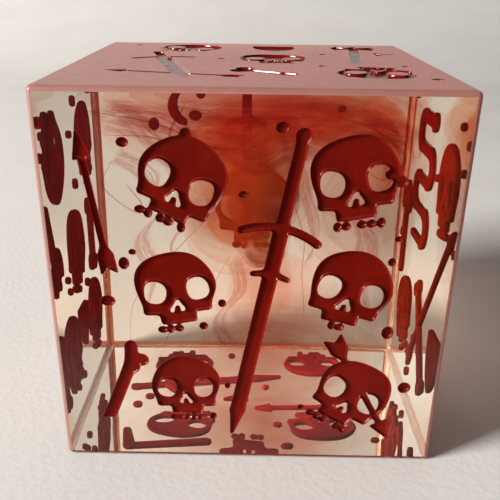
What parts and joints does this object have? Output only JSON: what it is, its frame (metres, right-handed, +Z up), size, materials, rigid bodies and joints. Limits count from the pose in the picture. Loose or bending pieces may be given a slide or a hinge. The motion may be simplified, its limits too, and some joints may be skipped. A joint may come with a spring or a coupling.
{
  "type": "giant six-sided die",
  "caption": "Large clear resin cube die with recessed red-painted skull pips, weapons and bones on every face and a cloud of red dye cast inside.",
  "frame": {"origin": "centre of the underside", "axes": "+Z up, -Y out of the face with six skulls, +X to the right when looking at that face"},
  "size_m": [0.05, 0.05, 0.05],
  "materials": {
    "clear_resin": "clear cast resin, faintly pink, polished faces and satin bevelled edges",
    "red_paint": "gloss enamel, deep red, thicker and darker on the floor of each recess",
    "red_dye": "soft smoky dye cast into the resin, orange-red in the middle and pink at the edges"
  },
  "bodies": {
    "root": {"resin_block": "clear_resin", "dye_plume": "red_dye", "dye_veil_back": "red_dye", "dye_veil_front": "red_dye", "dye_veil_left": "red_dye", "dye_veil_right": "red_dye", "dye_wisp_left": "red_dye", "dye_wisp_right": "red_dye", "arrow_bottom": "red_paint", "arrow_front": "red_paint", "arrow_right": "red_paint", "arrow_top": "red_paint", "axe_left": "red_paint", "axe_right": "red_paint", "axe_top": "red_paint", "bone_front": "red_paint", "bone_left": "red_paint", "bone_right": "red_paint", "bone_top": "red_paint", "crescent_back": "red_paint", "dart_bottom": "red_paint", "dart_top": "red_paint", "drops_back": "red_paint", "drops_bottom": "red_paint", "drops_front": "red_paint", "drops_left": "red_paint", "drops_right": "red_paint", "drops_top": "red_paint", "pick_bottom": "red_paint", "piercing_arrow_front": "red_paint", "shield_left": "red_paint", "shield_right": "red_paint", "shield_top": "red_paint", "skull_back_1": "red_paint", "skull_bottom_1": "red_paint", "skull_bottom_2": "red_paint", "skull_bottom_3": "red_paint", "skull_bottom_4": "red_paint", "skull_front_1": "red_paint", "skull_front_2": "red_paint", "skull_front_3": "red_paint", "skull_front_4": "red_paint", "skull_front_5": "red_paint", "skull_front_6": "red_paint", "skull_left_1": "red_paint", "skull_left_2": "red_paint", "skull_left_3": "red_paint", "skull_left_4": "red_paint", "skull_left_5": "red_paint", "skull_right_1": "red_paint", "skull_right_2": "red_paint", "skull_top_1": "red_paint", "skull_top_2": "red_paint", "skull_top_3": "red_paint", "snake_right": "red_paint", "sword_back": "red_paint", "sword_bottom": "red_paint", "sword_front": "red_paint", "sword_top": "red_paint", "thigh_bone_left": "red_paint"}
  },
  "joints": []
}
